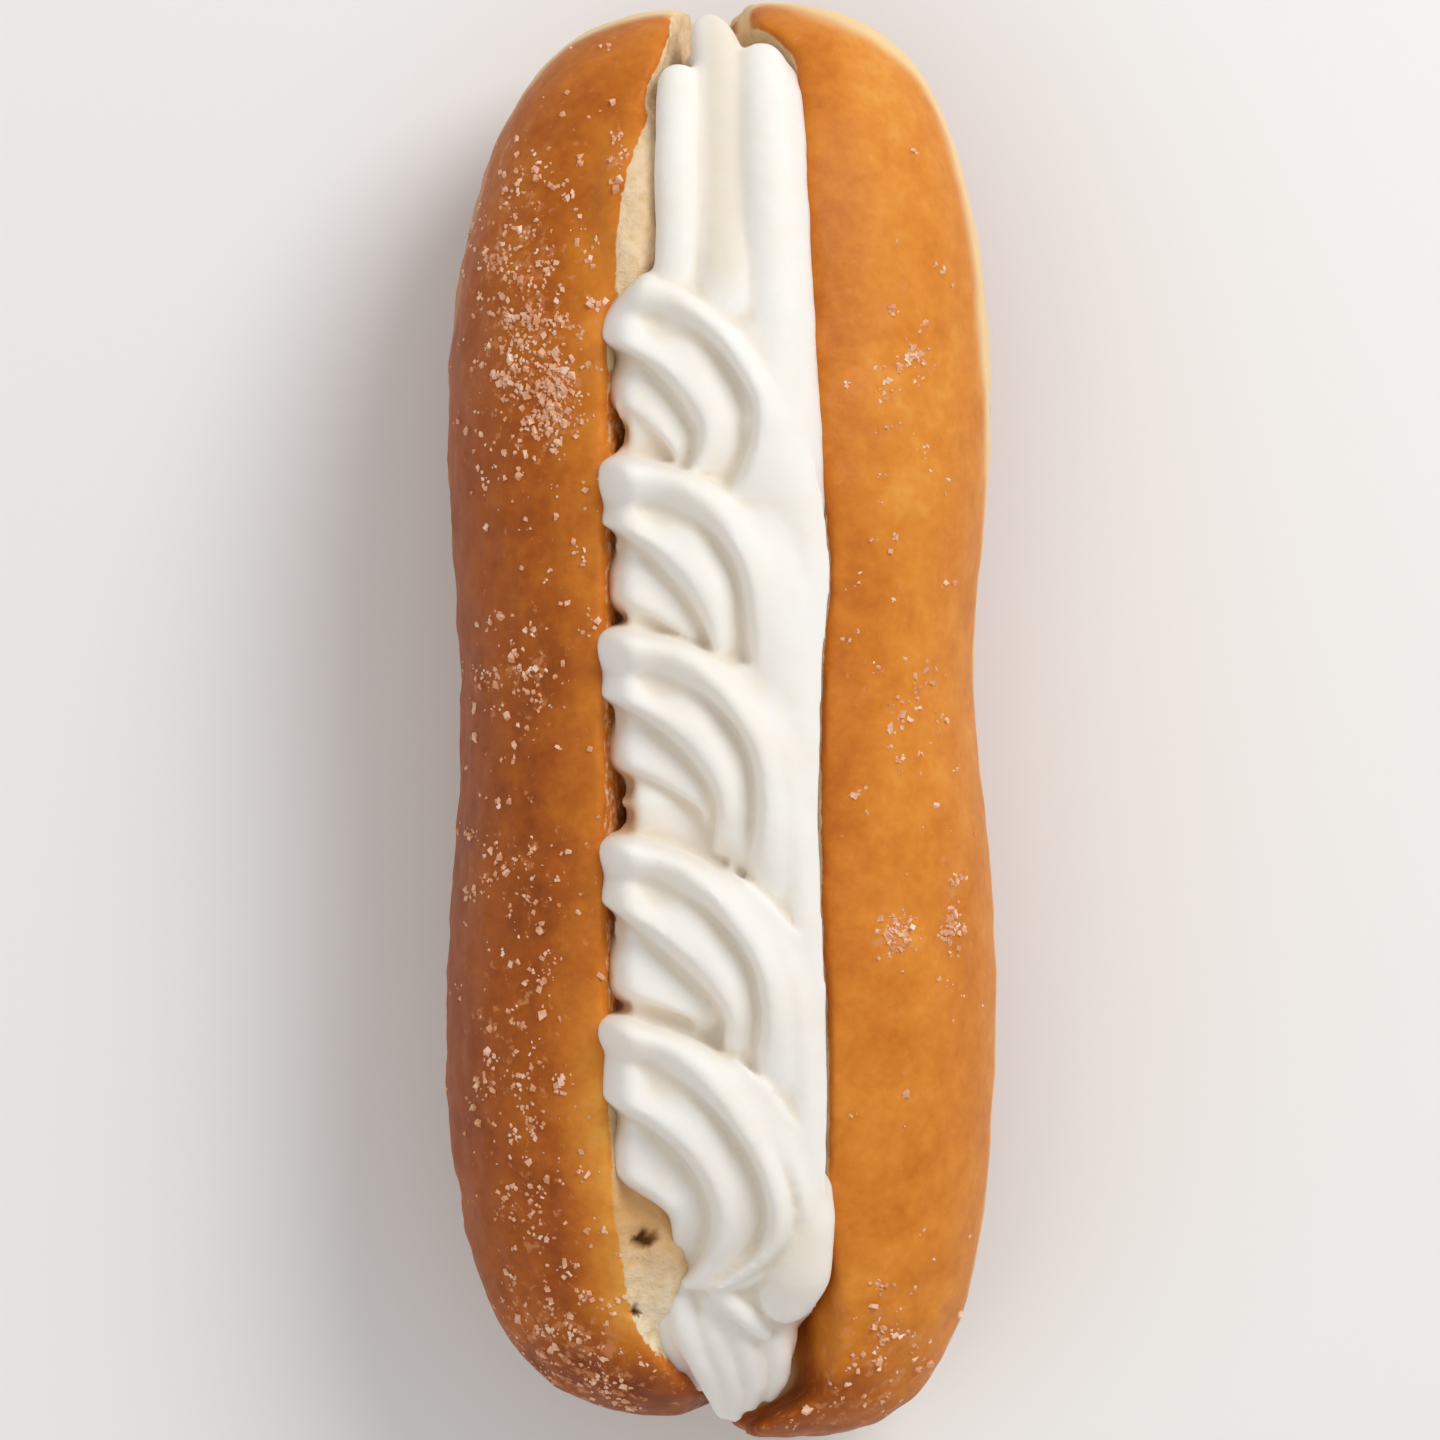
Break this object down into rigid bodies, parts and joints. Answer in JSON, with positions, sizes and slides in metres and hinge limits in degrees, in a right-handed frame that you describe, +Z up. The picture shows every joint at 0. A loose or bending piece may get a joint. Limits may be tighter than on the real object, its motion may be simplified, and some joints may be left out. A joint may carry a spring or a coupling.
{
  "type": "cream filled finger doughnut",
  "caption": "Long fried doughnut, split along its top and through both ends, filled with ridged piped vanilla cream and sprinkled with sugar; a prop food that lies flat.",
  "frame": {"origin": "on the table, under the middle of the whole doughnut", "axes": "+Y along the length, +X across to the right half, +Z up out of the cut"},
  "size_m": [0.0632, 0.1642, 0.051],
  "materials": {
    "crust": "fried golden brown crust with a soft sheen, pale ring and sugar crystals",
    "cream": "whipped vanilla cream, smooth and softly glossy"
  },
  "bodies": {
    "root": {"dough": "crust", "cream": "cream"}
  },
  "joints": []
}
